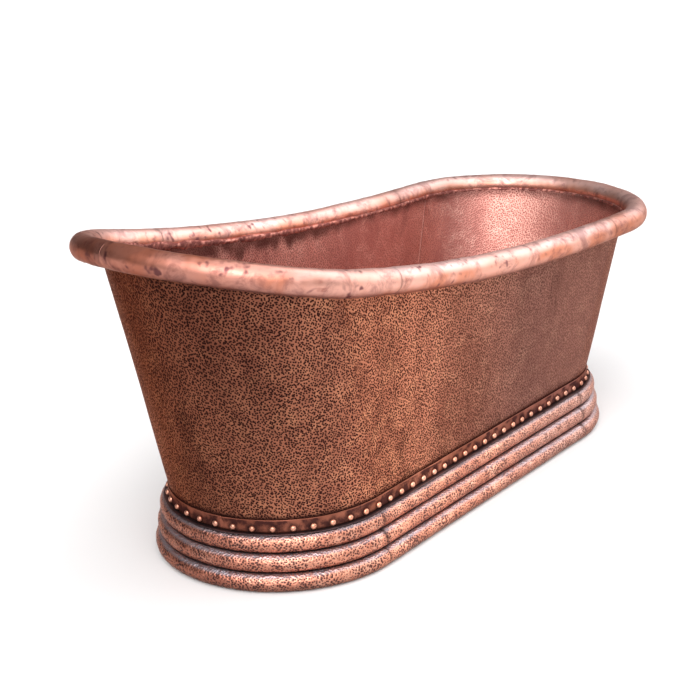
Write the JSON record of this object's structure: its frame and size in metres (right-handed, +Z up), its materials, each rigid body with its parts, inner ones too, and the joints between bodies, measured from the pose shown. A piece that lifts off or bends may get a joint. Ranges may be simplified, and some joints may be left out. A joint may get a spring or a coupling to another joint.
{
  "type": "freestanding bathtub",
  "caption": "Slipper bathtub in hammered copper sheet with a rolled rim, a riveted foot band, a stepped plinth and a push-stopper waste.",
  "frame": {"origin": "on the floor under the middle of the tub's overall length and width", "axes": "+X along the length from the raised end towards the low end with the waste, +Y across the tub towards its back side, +Z up"},
  "size_m": [1.8289, 0.73, 0.811],
  "materials": {
    "wall_copper": "hammered copper sheet with a brown patina",
    "pan_copper": "finely hammered copper sheet with a red-brown patina",
    "rim_copper": "hand-dressed copper tube with worn highlights",
    "band_copper": "smooth copper strip with a dark patina",
    "rivet_copper": "polished copper",
    "ledge_copper": "smooth copper with a dark grey-brown patina",
    "roll_copper": "coarsely hammered copper with dark pits",
    "cradle_steel": "black painted steel tube",
    "timber": "sawn hardwood",
    "pad_rubber": "moulded rubber",
    "zinc_steel": "zinc-plated steel",
    "waste_copper": "copper plate with a brown patina",
    "seal_rubber": "soft moulded rubber",
    "fibre": "pressed fibre"
  },
  "bodies": {
    "tub": {"side_panel_front": "wall_copper", "side_panel_back": "wall_copper", "end_panel_high": "wall_copper", "end_panel_low": "wall_copper", "floor_pan": "pan_copper", "cove_front": "pan_copper", "cove_back": "pan_copper", "cove_high_end": "pan_copper", "cove_low_end": "pan_copper", "rim_front": "rim_copper", "rim_back": "rim_copper", "rim_low_end": "rim_copper", "rim_high_front": "rim_copper", "rim_high_back": "rim_copper", "band_front": "band_copper", "band_back": "band_copper", "band_rivets": "rivet_copper", "ledge_front": "ledge_copper", "ledge_back": "ledge_copper", "ledge_high_end": "ledge_copper", "ledge_low_end": "ledge_copper", "top_roll_front": "roll_copper", "top_roll_back": "roll_copper", "top_roll_high_front": "roll_copper", "top_roll_high_back": "roll_copper", "top_roll_low_front": "roll_copper", "top_roll_low_back": "roll_copper", "middle_roll_front": "roll_copper", "middle_roll_back": "roll_copper", "middle_roll_high_end": "roll_copper", "middle_roll_low_end": "roll_copper", "bottom_roll_front": "roll_copper", "bottom_roll_back": "roll_copper", "bottom_roll_high_end": "roll_copper", "bottom_roll_low_end": "roll_copper", "cradle_rail_front": "cradle_steel", "cradle_rail_back": "cradle_steel", "bearer_1": "timber", "bearer_2": "timber", "bearer_3": "timber", "bearer_4": "timber", "bearer_5": "timber", "foot_pads": "pad_rubber", "foot_studs": "zinc_steel", "foot_nuts": "zinc_steel", "stopper_spring": "zinc_steel", "drain_body": "waste_copper", "drain_tailpiece": "waste_copper", "drain_nut": "waste_copper", "stopper_guide": "waste_copper", "drain_gasket": "seal_rubber", "drain_rubber_washer": "seal_rubber", "drain_fibre_washer": "fibre"},
    "stopper": {"stopper_stem": "waste_copper", "stopper_cap": "waste_copper", "stopper_seal": "seal_rubber"}
  },
  "joints": [
    {"name": "stopper_press", "type": "slide", "parent": "tub", "child": "stopper", "axis": [0, 0, 1], "range_m": [-0.009, 0], "stiffness_N_per_m": 600, "springref_m": 0.012, "deforming": ["stopper_spring"]}
  ]
}
